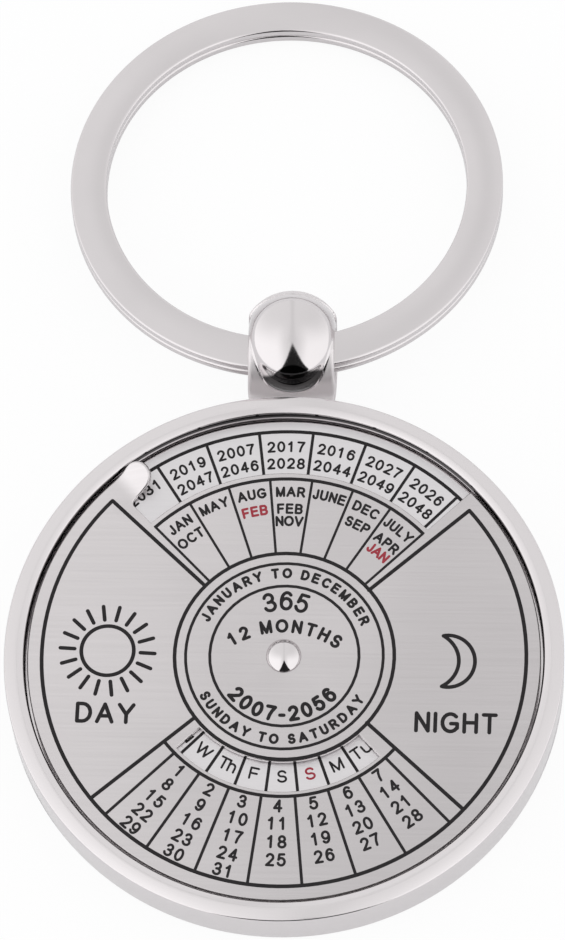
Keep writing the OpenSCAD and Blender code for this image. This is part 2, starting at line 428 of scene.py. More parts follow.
root = drum.math("SMOOTH_MIN", neck, SOFT["root"]).math("SMOOTH_MAX", wide, SOFT["root side"])
solid = ball.math("SMOOTH_MIN", root, SOFT["foot"])
solid = solid.math("SMOOTH_MAX", lug["Hole radius"] - from_hole, SOFT["hole"])
counts = [round((high - low) / LUG_VOXEL) for low, high in zip(LUG_LOW, LUG_HIGH)]
cloud = solid.node("GeometryNodeVolumeCube", {
    "Density": SOLID_LEVEL - solid, "Background": 0.0, "Min": LUG_LOW, "Max": LUG_HIGH,
    "Resolution X": counts[0], "Resolution Y": counts[1], "Resolution Z": counts[2]})
skin = cloud.node("GeometryNodeVolumeToMesh", {"Volume": cloud, "Threshold": SOLID_LEVEL})
skin = skin.node("GeometryNodeTransform", {"Geometry": skin, "Scale": (MM, MM, MM)})
skin = skin.node("GeometryNodeSetShadeSmooth", {"Geometry": skin})
tree_end(skin, lug["Finish"])
lug_mesh = grown(lug_tree, "case_lug", LUG | {"Finish": case_finish})


def lug_marks(place):
    """Only the ball's front and the line round it are polished; painted shade darkens the ball low on its
    front, a dark reflection painted into its colour.
    """
    spot = vector_math(place, "SCALE", {"Scale": 1 / MM})
    spot = vector_math(spot, "SUBTRACT", {1: (0.0, LUG["Ball y"], LUG["Ball z"])})
    far = vector_math(spot, "LENGTH", {}, "Value")
    ahead = dotted(spot, (LUG["Front tilt x"], LUG["Front tilt y"], LUG["Front tilt z"]))
    below = dotted(spot, (0.0, -LUG["Front tilt z"], LUG["Front tilt y"]))
    off = swollen(far, ahead) - LUG["Front radius"]
    aside = dotted(spot, (1.0, 0.0, 0.0)) - FOOT_ASIDE
    middle = eased(below - aside * aside * FOOT_BOW, *FOOT_MIDDLE)
    low = eased(below + aside * FOOT_LEAN, *FOOT_SIDES).math("MAXIMUM", middle)
    # the first share is unpolished skin; the second is painted shade, a dark reflection painted low on the
    # front
    return eased(off, *POLISH_EDGE), low * eased(off, *FOOT_EDGE) * FOOT_PAINTED_DARK_SHARE


lug_finish = plated("lug_nickel", NICKEL, NICKEL_DULL, LUG_ROUGH, lug_marks)
case_lug = piece(lug_mesh, lug_finish)
case_lug.visible_glossy = False
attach(case_lug, "case")


# Adhesive ring and washers: white double-sided tape under the scale disc, a stamped steel washer for
# the rivet's tail, and a thin plastic washer that gives the dial its friction. Hidden, but finished.
TAPE = (0.85, 0.83, 0.75, 1.0)
TAPE_SHADE = (0.78, 0.75, 0.66, 1.0)
STEEL = (0.56, 0.56, 0.56, 1.0)
STEEL_DULL = (0.42, 0.42, 0.43, 1.0)
WASHER = (0.9, 0.9, 0.88, 1.0)
WASHER_SHADE = (0.82, 0.82, 0.79, 1.0)


def mottled(name, light, shade, size, depth, rough, swing, values):
    """A plain stuff with mottled colour and gloss and a fine tooth."""
    material, shader, place = finish_of(name, values)
    mottle = grain(place, (size, size, size), 4.0)
    surfaced(shader, tinted(light, shade, mottle), mottle * swing + rough, bumped(mottle, depth))
    return material


def coat_node(node, material):
    """Gives a CAD node its finish."""
    for slot in frame["nodes"][node].material_slots:
        slot.material = material


for node, name, light, shade, metallic, rough, size in (
        ("adhesive_ring", "tape", TAPE, TAPE_SHADE, 0.0, 0.6, 0.5),
        ("backing_washer", "washer_steel", STEEL, STEEL_DULL, 1.0, 0.3, 0.3),
        ("friction_washer", "washer_plastic", WASHER, WASHER_SHADE, 0.0, 0.4, 0.4)):
    coat_node(node, mottled(name, light, shade, size, size * 0.01, rough, 0.2, {"Metallic": metallic}))


# Scale disc: thin aluminium with a fine satin finish, glued to the floor. Its years and weekdays are
# printed in paint, in 28 cells all round, so that they serve at every place of the dial.
DISC_Z = 2.95
DISC_TURN = 1.03
CELLS = 28
CELL = 360 / CELLS
YEAR_RIM = 17.55
YEAR_LINE = (13.2, YEAR_RIM)
YEAR_ROWS = (16.38, 15.07)
YEAR_HEIGHT = 0.87
YEAR_WIDE = 1.06
DAY_TURN = -0.3
DAY_RADIUS = 8.93
DAY_HEIGHT = 0.95
DAY_LINE = (7.6, 10.7)
DAYS = ("S", "S", "M", "Tu", "W", "Th", "F")
DAY_GAPS = (0.0, 0.0, 0.0, 0.1, 0.0, -0.06, 0.0)
DAY_WIDE = 1.2
SUNDAY = 1
SHOWN_YEARS = ((2031,), (2019, 2047), (2007, 2046), (2017, 2028), (2016, 2044), (2027, 2049), (2026, 2048))
FIRST_YEAR = 2007
LAST_YEAR = 2056
DISC_LIGHT = (0.74, 0.722, 0.733, 1.0)
DISC_DARK = (0.64, 0.622, 0.632, 1.0)
INK = (0.01, 0.009, 0.01, 1.0)
INK_WORN = (0.022, 0.02, 0.021, 1.0)
RED = (0.27, 0.022, 0.036, 1.0)
RED_WORN = (0.33, 0.05, 0.065, 1.0)
# painted light: a near-white colour, brighter than the metal, for the dial's cut walls so that they do not
# read as shaded
PAINTED_EDGE_LIGHT = (0.93, 0.9, 0.905, 1.0)
PAINTED_LIGHT_SOFT = 0.04
PATCH_SIZE = (9.0, 9.0, 9.0)
PAINT = {"size": 0.5, "depth": 0.002, "rough": 0.3, "swing": 0.25, "values": {"Specular IOR Level": 0.15}}
PAINT_TOP = 0.006
PAINT_DEPTH = 0.016
LIGHT_PEN = 0.165
YEAR_PEN = 0.19
THIN_LINE = 0.22
YEAR_LINE_PEN = 0.26
ARC_LIFT = 0.002
ARC_STEP = 40
LETTER_GAP = 0.14
DIGIT_WIDTH = 0.58
PEN_MITRE = 0.8
PEN_STEPS = 6
MERGE = 1e-5


def satin(name, light, dark, rough, length, width, depth, lean=(0.0, 0.0, 0.0), painted_light_below=0.0):
    """Metal brushed along X: long fine streaks in colour, gloss and height. Painted shade: its colour darkens
    slowly along the lean, by a share of the two colours for each mm, as a gradient of light across the piece.
    Painted light: it turns near white below a given height in mm."""
    material, shader, place = finish_of(name, {"Metallic": 1.0})
    streaks = grain(place, (length, width, length), 3.0)
    hairs = grain(place, (length * 0.4, width * 0.3, length), 2.0)
    patches = grain(place, PATCH_SIZE, 2.0)
    brushed = streaks * 0.6 + hairs * 0.4
    # the last term is painted shade: a gradient of light painted across the piece along the lean
    shade = brushed * 0.7 + patches * 0.3 + dotted(place, [side / MM for side in lean])
    # painted light: the share of near-white colour below the given height, on the sheet's walls and underside
    edge = eased(dotted(place, (0.0, 0.0, 1 / MM)), painted_light_below, painted_light_below - PAINTED_LIGHT_SOFT)
    colour = tinted(tinted(light, dark, shade), PAINTED_EDGE_LIGHT, edge)
    surfaced(shader, colour, rough + brushed * 0.12 + patches * 0.05, bumped(brushed, depth))
    return material


def bow(x, y, rx, ry, start, end, step=18):
    """Points of an oval arc, by angles in degrees."""
    steps = max(2, round(abs(end - start) / step))
    turns = [radians(start + (end - start) * k / steps) for k in range(steps + 1)]
    return [(x + rx * cos(turn), y + ry * sin(turn)) for turn in turns]


# The letters are single pen strokes on a body of 100 units, in plain sans-serif forms.
UNITS = 100
STROKES = {
    "0": [bow(29, 50, 29, 50, 90, 450)],
    "1": [[(8, 76), (20, 84), (31, 100), (31, 0)]],
    "2": [bow(29, 72, 27, 28, 165, -35) + [(30, 30), (0, 0), (58, 0)]],
    "3": [bow(27, 75.5, 24, 24.5, 165, -90) + [(20, 51)], bow(27, 26.5, 29, 26.5, 80, -165)],
    "4": [[(43, 0), (43, 100), (0, 30), (60, 30)]],
    "5": [[(53, 100), (13, 100), (5, 52)], bow(28, 33, 30, 33, 140, -160)],
    "6": [bow(31, 32, 28, 32, 180, 540), bow(34, 50, 31, 50, 45, 180) + [(3, 32)]],
    "7": [[(0, 100), (58, 100), (40, 68), (28, 36), (22, 0)]],
    "8": [bow(29, 75.5, 24, 24.5, 0, 360), bow(29, 25.5, 29, 25.5, 0, 360)],
    "9": [bow(27, 68, 28, 32, 0, 360), bow(24, 50, 31, 50, 225, 360) + [(55, 68)]],
    "-": [[(0, 40), (30, 40)]],
    "A": [[(0, 0), (40, 100), (80, 0)], [(14, 33), (66, 33)]],
    "B": [[(36, 52), (0, 52), (0, 100), (36, 100)], bow(36, 76, 24, 24, 90, -90),
          [(0, 52), (0, 0), (37, 0)], bow(37, 26, 27, 26, -90, 90)],
    "C": [bow(42, 50, 42, 50, 45, 315)],
    "D": [[(28, 0), (0, 0), (0, 100), (28, 100)], bow(28, 50, 42, 50, 90, -90)],
    "E": [[(60, 100), (0, 100), (0, 0), (62, 0)], [(0, 53), (56, 53)]],
    "F": [[(57, 100), (0, 100), (0, 0)], [(0, 50), (50, 50)]],
    "G": [bow(43, 50, 43, 50, 45, 320) + [(80, 20), (80, 45), (46, 45)]],
    "H": [[(0, 0), (0, 100)], [(64, 0), (64, 100)], [(0, 53), (64, 53)]],
    "I": [[(0, 0), (0, 100)]],
    "J": [[(42, 100)] + bow(21, 26, 21, 26, 0, -175)],
    "L": [[(0, 100), (0, 0), (50, 0)]],
    "M": [[(0, 0), (0, 100), (39, 0), (78, 100), (78, 0)]],
    "N": [[(0, 0), (0, 100), (64, 0), (64, 100)]],
    "O": [bow(43, 50, 43, 50, 90, 450)],
    "P": [[(36, 47), (0, 47)], [(0, 0), (0, 100), (36, 100)], bow(36, 73.5, 27, 26.5, 90, -90)],
    "S": [bow(31, 74.5, 27, 25.5, 25, 250) + bow(32, 26, 30, 26, 70, -160)],
    "T": [[(0, 100), (66, 100)], [(33, 100), (33, 0)]],
    "U": [[(0, 100)] + bow(32, 32, 32, 32, 180, 360) + [(64, 100)]],
    "V": [[(0, 100), (38, 0), (76, 100)]],
    "W": [[(0, 100), (27, 0), (54, 100), (81, 0), (108, 100)]],
    "Y": [[(0, 100), (38, 45), (76, 100)], [(38, 45), (38, 0)]],
    "h": [[(0, 0), (0, 100)], bow(24, 48, 24, 26, 180, 0) + [(48, 0)]],
    "u": [[(0, 78)] + bow(27, 26, 27, 26, 180, 360), [(54, 78), (54, 0)]],
    " ": [],
}
STROKES["R"] = STROKES["P"] + [[(36, 47), (68, 0)]]
SPACE = 0.3
SHARP_TURN = radians(40)


def runs(stroke):
    """A stroke as smooth runs of points, parted at its sharp corners."""
    points = [Vector(p) for p in stroke]
    run = points[:2]
    for ahead in points[2:]:
        if (run[-1] - run[-2]).angle(ahead - run[-1]) > SHARP_TURN:
            yield run
            run = run[-1:]
        run.append(ahead)
    yield run


def filled(spots, edges, faces, within):
    """Triangles between spots, of which those stay whose middle passes a test."""
    flat, _, triangles, _, _, _ = delaunay_2d_cdt(spots, edges, faces, 0, MERGE)
    kept = []
    for triangle in triangles:
        if within(sum((flat[i] for i in triangle), Vector((0, 0))) / 3):
            kept.append(triangle)
    return flat, kept


def pen_solid(name, strokes, pen):
    """A thin solid of paint that a round pen leaves along the strokes, all joined to one form."""
    spots = []
    faces = []

    def add(points):
        faces.append(list(range(len(spots), len(spots) + len(points))))
        spots.extend(points)

    half = pen / 2
    for run in (run for stroke in strokes for run in runs(stroke)):
        closed = (run[0] - run[-1]).length < half / 10
        ways = [(b - a).normalized() for a, b in zip(run, run[1:])]
        before = [ways[-1] if closed else ways[0]] + ways
        after = ways + [ways[0] if closed else ways[-1]]
        sides = []
        for back, on in zip(before, after):
            way = (back + on).normalized()
            sides.append(Vector((-way.y, way.x)) * half / max(way.dot(on), PEN_MITRE))
        for k in range(len(ways)):
            add([run[k] - sides[k], run[k + 1] - sides[k + 1], run[k + 1] + sides[k + 1], run[k] + sides[k]])
        if not closed:
            for end, side in ((run[0], sides[0]), (run[-1], -sides[-1])):
                add([end + Matrix.Rotation(pi * k / PEN_STEPS, 2) @ side for k in range(PEN_STEPS + 1)])
    borders = [list(zip(face, face[1:] + face[:1])) for face in faces]

    def painted(spot):
        return any(all((spots[b] - spots[a]).cross(spot - spots[a]) > 0 for a, b in border)
                   for border in borders)

    flat, kept = filled(spots, [], faces, painted)
    return slab_mesh(name, flat, kept, PAINT_TOP, PAINT_TOP - PAINT_DEPTH)


def slab_mesh(name, flat, triangles, top, bottom):
    """A closed flat solid between two heights over a set of triangles."""
    work = bmesh.new()
    upper = [work.verts.new((x, y, top)) for x, y in flat]
    lower = [work.verts.new((x, y, bottom)) for x, y in flat]
    edges = {}
    for triangle in triangles:
        work.faces.new([upper[i] for i in triangle])
        work.faces.new([lower[i] for i in reversed(triangle)])
        for edge in zip(triangle, triangle[1:] + triangle[:1]):
            edges[edge] = True
    for a, b in edges:
        if (b, a) not in edges:
            work.faces.new((upper[b], upper[a], lower[a], lower[b]))
    cleaned(work)
    return plain_mesh(name, work)


def cleaned(work):
    """Takes the loose points from a bmesh and turns its faces outward."""
    loose = [vert for vert in work.verts if not vert.link_faces]
    bmesh.ops.delete(work, geom=loose, context="VERTS")
    bmesh.ops.recalc_face_normals(work, faces=work.faces)


def polar(radius, angle):
    """The point at a radius and an angle in degrees."""
    return Vector((radius * cos(radians(angle)), radius * sin(radians(angle))))


class Print:
    """What is printed in one colour on one piece: stamps to repeat, and arcs."""

    stamps = []
    made = {}

    def __init__(self, level, turn):
        self.level = level
        self.turn = turn
        self.places = []
        self.arcs = []

    def stamp(self, key, strokes, pen, spot, turn, size):
        if key not in Print.made:
            Print.made[key] = len(Print.stamps)
            Print.stamps.append(pen_solid(f"stamp_{len(Print.stamps):03d}", strokes, pen))
        spot = Matrix.Rotation(radians(self.turn), 2) @ spot
        self.places.append((Print.made[key], spot, turn + self.turn, size))

    def letters(self, text, pen, gap=LETTER_GAP, wide=1.0):
        """Each letter of a text with its strokes, its middle and the text's length, for height one."""
        at = 0.0
        row = []
        for letter in text:
            body = []
            for stroke in STROKES[letter]:
                body.append([(pen / 2 + x / UNITS * wide * (1 - pen), pen / 2 + y / UNITS * (1 - pen) - 0.5)
                             for x, y in stroke])
            right = max((x for stroke in body for x, _ in stroke), default=SPACE - pen / 2) + pen / 2
            if letter.isdigit():
                right = DIGIT_WIDTH * wide * (1 - pen) + pen
            middle = right / 2
            row.append((letter, [[(x - middle, y) for x, y in stroke] for stroke in body], at + middle))
            at += right + gap
        return row, at - gap

    def write(self, text, radius, angle, height, pen, inward=False, gap=LETTER_GAP, wide=1.0, about=(0, 0)):
        """A text along an arc about a point, with its middle at a radius and an angle."""
        row, length = self.letters(text, pen, gap, wide)
        way = 1 if inward else -1
        for letter, strokes, at in row:
            if strokes:
                off = angle + way * degrees((at - length / 2) * height / radius)
                spot = Vector(about) + polar(radius, off)
                self.stamp((letter, pen, wide), strokes, pen, spot, off + way * 90, height)

    def fan(self, first, step, count, line, pen):
        """Straight lines that point to the middle, evenly spread."""
        inner, outer = line
        half = (outer - inner) / 2
        for k in range(count):
            off = first + k * step
            self.stamp(("bar", half, pen), [[(-half, 0), (half, 0)]], pen, polar(inner + half, off), off, 1.0)

    def arc(self, radius, start, end, pen, aside=0.0):
        self.arcs.append((radius, start + self.turn, end + self.turn, pen, aside))


year_print = Print(DISC_Z, DISC_TURN)
day_print = Print(DISC_Z, DISC_TURN + DAY_TURN)
day_red = Print(DISC_Z, DISC_TURN + DAY_TURN)

# Years fall in seven classes by the weekday of their first of March; a cell holds one class.
year_classes = {}
for year in range(FIRST_YEAR, LAST_YEAR + 1):
    year_classes.setdefault(calendar.weekday(year, 3, 1), []).append(year)
shown = {year for pair in SHOWN_YEARS for year in pair}
middle_cell = len(SHOWN_YEARS) // 2
for k in range(CELLS):
    lap, place = divmod(k, len(SHOWN_YEARS))
    pair = SHOWN_YEARS[place]
    if lap:
        rest = [year for year in year_classes[calendar.weekday(pair[0], 3, 1)] if year not in shown]
        pair = rest[2 * lap - 2:2 * lap]
    off = 90 - (k - middle_cell) * CELL
    for row, year in zip(YEAR_ROWS, pair):
        year_print.write(str(year), row, off, YEAR_HEIGHT, YEAR_PEN, wide=YEAR_WIDE)
year_print.fan(90 + CELL / 2, CELL, CELLS, YEAR_LINE, THIN_LINE)
year_print.arc(YEAR_RIM, 0, 360, YEAR_LINE_PEN)
for k in range(CELLS):
    day = k % len(DAYS)
    inked = day_red if day == SUNDAY else day_print
    inked.write(DAYS[day], DAY_RADIUS, 270 + k * CELL, DAY_HEIGHT, LIGHT_PEN, True, DAY_GAPS[day], DAY_WIDE)
day_print.fan(270 + CELL / 2, CELL, CELLS, DAY_LINE, THIN_LINE)

stamp_tree, stamp_in = shape_tree("stamped", {
    "Places": "Geometry", "Stamps": "Collection", "Finish": "Material"})
named = {}
for label, kind in (("which", "INT"), ("turn", "FLOAT"), ("size", "FLOAT")):
    named[label] = stamp_in["Places"].node("GeometryNodeInputNamedAttribute", {"Name": label}, data_type=kind)
stock = stamp_in["Stamps"].node("GeometryNodeCollectionInfo", {
    "Collection": stamp_in["Stamps"], "Separate Children": True, "Reset Children": True})
spin = named["turn"].node("ShaderNodeCombineXYZ", {"Z": named["turn"]})
growth = named["size"].node("ShaderNodeCombineXYZ", {axis: named["size"] for axis in "XYZ"})
stamped = stock.node("GeometryNodeInstanceOnPoints", {
    "Points": stamp_in["Places"], "Instance": stock, "Pick Instance": True,
    "Instance Index": named["which"], "Rotation": spin, "Scale": growth})
tree_end(stamped, stamp_in["Finish"])

ARC = {"Radius": "Float", "Start": "Float", "Sweep": "Float", "Steps": "Int", "Closed": "Bool",
       "Width": "Float", "Depth": "Float", "Middle": "Vector", "Finish": "Material"}
arc_tree, arc_in = shape_tree("arc_line", ARC)
path = arc_in["Radius"].node("GeometryNodeCurveArc", {
    "Resolution": arc_in["Steps"], "Radius": arc_in["Radius"], "Start Angle": arc_in["Start"],
    "Sweep Angle": arc_in["Sweep"]})
path = path.node("GeometryNodeSetSplineCyclic", {"Geometry": path, "Cyclic": arc_in["Closed"]})
path = path.node("GeometryNodeSetCurveNormal", {"Curve": path}, mode="Z_UP")
nib = path.node("GeometryNodeCurvePrimitiveQuadrilateral", {
    "Width": arc_in["Width"], "Height": arc_in["Depth"]})
strip = path.node("GeometryNodeCurveToMesh", {"Curve": path, "Profile Curve": nib, "Fill Caps": True})
strip = strip.node("GeometryNodeTransform", {"Geometry": strip, "Translation": arc_in["Middle"]})
strip = strip.node("GeometryNodeSetShadeSmooth", {"Geometry": strip, "Shade Smooth": False})
tree_end(strip, arc_in["Finish"])


def arc_values(radius, start, end, pen, aside, level, finish):
    """The arc tree's inputs for a line from one angle to another; a full turn is closed."""
    closed = end - start >= 360
    steps = max(8, round((end - start) * radius / ARC_STEP))
    turn = (end - start) * ((steps - 1) / steps if closed else 1)
    height = level + PAINT_TOP - PAINT_DEPTH / 2 + ARC_LIFT
    return {"Radius": radius * MM, "Start": radians(start), "Sweep": radians(turn), "Steps": steps,
            "Closed": closed, "Width": pen * MM, "Depth": PAINT_DEPTH * MM,
            "Middle": (aside * MM, 0, height * MM), "Finish": finish}


def joined(name, meshes):
    """One mesh from several, which it takes the place of."""
    work = bmesh.new()
    for mesh in meshes:
        work.from_mesh(mesh)
        bpy.data.meshes.remove(mesh)
    return plain_mesh(name, work)


def printed(name, work, finish, extra=()):
    """The object of all that one Print holds."""
    stock = bpy.data.collections.new("stamps")
    bpy.context.scene.collection.children.link(stock)
    for mesh in Print.stamps:
        stock.objects.link(bpy.data.objects.new(mesh.name, mesh))
    places = bpy.data.meshes.new("places")
    which, spots, turns, sizes = zip(*work.places)
    places.from_pydata([(spot.x * MM, spot.y * MM, work.level * MM) for spot in spots], [], [])
    columns = {"which": ("INT", which), "turn": ("FLOAT", [radians(turn) for turn in turns]),
               "size": ("FLOAT", [size * MM for size in sizes])}
    for label, (kind, values) in columns.items():
        places.attributes.new(label, kind, "POINT").data.foreach_set("value", values)
    meshes = [grown(stamp_tree, name, {"Stamps": stock, "Finish": finish}, places)]
    for arc in work.arcs:
        meshes.append(grown(arc_tree, name, arc_values(*arc, work.level, finish)))
    for thing in list(stock.objects):
        bpy.data.objects.remove(thing)
    bpy.data.collections.remove(stock)
    return piece(joined(name, meshes + list(extra)), finish)


ink = mottled("ink_black", INK, INK_WORN, **PAINT)
ink_red = mottled("ink_red", RED, RED_WORN, **PAINT)
disc_finish = satin("disc_satin", DISC_LIGHT, DISC_DARK, rough=0.3, length=6.0, width=0.1, depth=0.0015)
coat_node("scale_disc", disc_finish)
for name, work, finish in (("year_print", year_print, ink), ("day_print", day_print, ink),
                           ("day_print_red", day_red, ink_red)):
    lettering = printed(name, work, finish)
    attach(lettering, "case")


# Rivet: a polished shoulder rivet with a domed head. The dial turns on its shoulder; its tail goes
# through the scale disc and is upset over the backing washer.
HEAD_R = 1.275
HEAD_H = 0.7
HEAD_Z = 3.52
HEAD_EDGE = 0.05
SHOULDER_R = 1.0
TAIL_R = 0.65
UPSET_R = 0.95
UPSET_Z = (1.8, 2.15)
UPSET_EDGE = 0.15
DOME_STEPS = 24
RIVET_SEGMENTS = 96
RIVET_ROUGH = 0.035

head_ball = (HEAD_R ** 2 + HEAD_H ** 2) / (2 * HEAD_H)
head_turn = asin(HEAD_R / head_ball)
dome = []
for k in range(DOME_STEPS - 1, 0, -1):
    turn = head_turn * k / DOME_STEPS
    dome.append((head_ball * sin(turn), HEAD_Z + HEAD_H - head_ball * (1 - cos(turn))))
rivet_line = filleted([
    (0, UPSET_Z[0]), (UPSET_R, UPSET_Z[0], UPSET_EDGE), (UPSET_R, UPSET_Z[1]), (TAIL_R, UPSET_Z[1]),
    (TAIL_R, DISC_Z), (SHOULDER_R, DISC_Z), (SHOULDER_R, HEAD_Z), (HEAD_R, HEAD_Z, HEAD_EDGE),
    *dome, (0, HEAD_Z + HEAD_H)])
rivet_finish = plated("rivet_polish", NICKEL, NICKEL_DULL, RIVET_ROUGH)
rivet = piece(spun("rivet_domed", rivet_line, RIVET_SEGMENTS), rivet_finish)
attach(rivet, "case")
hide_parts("rivet")


# Dial plate: stainless steel sheet, brushed straight across, blanked with the year notch, the weekday
# window and the bore, and with the thumb ear bent up at the notch's left end.
DIAL_R = 18.35
DIAL_LOW = 3.1
DIAL_T = 0.4
DIAL_TURN = -0.7
NOTCH_R = 14.1
NOTCH_HALF = 45
WINDOW = (8.0, 10.25)
WINDOW_MID = 269
BORE_R = 1.05
EAR_W = 2.1
EAR_BEND = 2.0
EAR_ANGLE = radians(38)
EAR_STRAIGHT = 1.42
EAR_CORNER = 0.35
EAR_SPARE = 0.1
EAR_STEPS = 30
EAR_LAST = 17
EAR_COLUMNS = 4
CORNER_STEPS = 5
TIP_STEPS = 20
INSET_MITRE = 0.3
RIM_ROLL = 0.12
WINDOW_ROLL = 0.1
ROLL_STEPS = 4
DIAL_LIGHT = (0.66, 0.63, 0.637, 1.0)
DIAL_DARK = (0.52, 0.497, 0.502, 1.0)
# painted shade: the way and rate, for each mm, at which the dial's colour darkens across it
DIAL_SHADE_SLOPE = (0.018, -0.012, 0.0)
# painted light: the height below which the dial's walls are coloured near white
DIAL_PAINTED_LIGHT_BELOW = DIAL_Z - 0.06


def sweep(radius, start, end, step=2.0):
    """Points of an arc about the middle."""
    return [Vector(spot) for spot in bow(0, 0, radius, radius, start, end, step)]


ear_root = polar(DIAL_R - EAR_W / 2, 90 + NOTCH_HALF)
ear_way = polar(1, NOTCH_HALF)
ear_out = polar(1, 90 + NOTCH_HALF)
neutral = EAR_BEND + DIAL_T / 2
bend_length = neutral * EAR_ANGLE
ear_length = bend_length + EAR_STRAIGHT
tip = ear_length - EAR_W / 2


def on_ear(along, across):
    """A point of the flat blank, from its place on the ear."""
    return ear_root + ear_way * along + ear_out * across


def inset(loop, depth):
    """A closed loop moved to its left by a depth."""
    moved = []
    for i, here in enumerate(loop):
        back = (here - loop[i - 1]).normalized()
        on = (loop[(i + 1) % len(loop)] - here).normalized()
        way = (back + on).normalized()
        moved.append(here + Vector((-way.y, way.x)) * depth / max(way.dot(on), INSET_MITRE))
    return moved


def bent(flat, height):
    """The place in the dial of a point of the flat blank at a height in the sheet."""
    along = (flat - ear_root).dot(ear_way)
    across = (flat - ear_root).dot(ear_out)
    if along <= 0 or along > ear_length + EAR_SPARE or abs(across) > EAR_W:
        return Vector((flat.x, flat.y, DIAL_LOW + height))
    lean = min(along / neutral, EAR_ANGLE)
    straight = max(along - bend_length, 0)
    bow_r = EAR_BEND + DIAL_T - height
    run = bow_r * sin(lean) + straight * cos(lean)
    rise = EAR_BEND + DIAL_T - bow_r * cos(lean) + straight * sin(lean)
    spot = ear_root + ear_way * run + ear_out * across
    return Vector((spot.x, spot.y, DIAL_LOW + rise))


half_ear = EAR_W / 2
ear_steps = [ear_length * k / EAR_STEPS for k in range(1, EAR_LAST + 1)]
outside = [on_ear(along, half_ear) for along in ear_steps]
inside = [on_ear(along, -half_ear) for along in ear_steps if along > EAR_CORNER]
corner = [on_ear(EAR_CORNER * (1 - sin(turn)), -half_ear - EAR_CORNER * (1 - cos(turn)))
          for turn in (pi / 2 * k / CORNER_STEPS for k in range(CORNER_STEPS + 1))]
ear_tip = [on_ear(tip + half_ear * sin(turn), half_ear * cos(turn))
           for turn in (pi * k / TIP_STEPS for k in range(TIP_STEPS + 1))]
rim_loop = (sweep(DIAL_R, 90 + NOTCH_HALF, 450 - NOTCH_HALF)
            + sweep(NOTCH_R, 90 - NOTCH_HALF, 90 + NOTCH_HALF)
            + corner[::-1] + inside + ear_tip[::-1] + outside[::-1])
window_loop = (sweep(WINDOW[0], WINDOW_MID - NOTCH_HALF, WINDOW_MID + NOTCH_HALF)
               + sweep(WINDOW[1], WINDOW_MID + NOTCH_HALF, WINDOW_MID - NOTCH_HALF))
bore_loop = sweep(BORE_R, 360, 0, 6.0)[:-1]
loops = [(rim_loop, RIM_ROLL), (window_loop, WINDOW_ROLL), (bore_loop, WINDOW_ROLL)]


def circled(loop, spot):
    """True where a loop goes round a spot an odd number of times."""
    odd = False
    for a, b in zip(loop, loop[1:] + loop[:1]):
        if (a.y > spot.y) != (b.y > spot.y) and spot.x < a.x + (b.x - a.x) * (spot.y - a.y) / (b.y - a.y):
            odd = not odd
    return odd


faces_in = [inset(loop, roll) for loop, roll in loops]
spots = [spot for loop in faces_in for spot in loop]
edges = []
start = 0
for loop in faces_in:
    edges += [(start + k, start + (k + 1) % len(loop)) for k in range(len(loop))]
    start += len(loop)
spots += [on_ear(along, across * half_ear / EAR_COLUMNS)
          for along in ear_steps for across in range(1 - EAR_COLUMNS, EAR_COLUMNS)]
flat, kept = filled(spots, edges, [], lambda spot: sum(circled(loop, spot) for loop in faces_in) % 2)
work = bmesh.new()
for height, order in ((DIAL_T, 1), (0, -1)):
    corners = [work.verts.new(bent(spot, height) * MM) for spot in flat]
    for triangle in kept:
        work.faces.new([corners[i] for i in triangle[::order]])
quarter = [pi / 2 * k / ROLL_STEPS for k in range(ROLL_STEPS + 1)]
for loop, roll in loops:
    rows = [(roll * (1 - sin(turn)), DIAL_T - roll * (1 - cos(turn))) for turn in quarter]
    rows += [(depth, DIAL_T - height) for depth, height in rows[::-1]]
    strips = []
    for depth, height in rows:
        strips.append([work.verts.new(bent(spot, height) * MM) for spot in inset(loop, depth)])
    for high, low in zip(strips, strips[1:]):
        for k in range(len(loop)):
            ahead = (k + 1) % len(loop)
            work.faces.new((high[k], low[k], low[ahead], high[ahead]))
bmesh.ops.remove_doubles(work, verts=work.verts, dist=1e-7)
cleaned(work)
bmesh.ops.transform(work, verts=work.verts, matrix=Matrix.Rotation(radians(DIAL_TURN), 4, "Z"))
dial_finish = satin("dial_brushed", DIAL_LIGHT, DIAL_DARK, rough=0.13, length=12.0, width=0.2, depth=0.002,
                    lean=DIAL_SHADE_SLOPE, painted_light_below=DIAL_PAINTED_LIGHT_BELOW)
dial = piece(plain_mesh("dial_blank", work, sharp=50), dial_finish)
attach(dial, "dial")
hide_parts("dial_plate")


# Dial print: lines, months, dates and the day and night signs, etched into the plate and filled with
# black paint, with the two leap year months in red.
INNER_RING = 5.33
OUTER_RING = 7.06
HUB_RING = 7.845
FIELD_RIM = 17.3
HEAVY_LINE = 0.28
HUB_LINE = 0.27
HUB_ASIDE = 0.05
BOOK_PEN = 0.165
DATE_PEN = 0.19
BOLD_PEN = 0.22
WORD_PEN = 0.25
FINE_LINE = 0.25
SIDE_LINE = 0.22
MONTH_LINE = 0.19
MONTH_RIM = 13.63
MONTH_OVER = 0.3
MONTH_ROWS = (12.63, 11.32, 10.36)
MONTH_HEIGHT = 0.82
MONTH_GAPS = (0.1, 0.1, 0.02)
MONTHS = (("JAN", "OCT"), ("MAY",), ("AUG", "FEB"), ("MAR", "FEB", "NOV"), ("JUNE",), ("DEC", "SEP"),
          ("JULY", "APR", "JAN"))
LEAP_MONTHS = ((2, 1), (6, 2))
WEEK = 7
DATES = 31
DATE_RIM = 10.62
DATE_MID = 270.2
DATE_HALF = 50.7
DATE_CELL = 12.8
DATE_ROWS = (11.33, 12.63, 14.0, 15.34, 16.6)
DATE_HEIGHT = 1.0
TOP_SIDES = (48.6, 48.1)
BOTTOM_SIDES = (51.4, 49.7)
SUN = (-12.6, 0.0)
SUN_R = 1.88
RAYS = 18
RAY = (2.36, 3.39)
RAY_OFF = 0.1
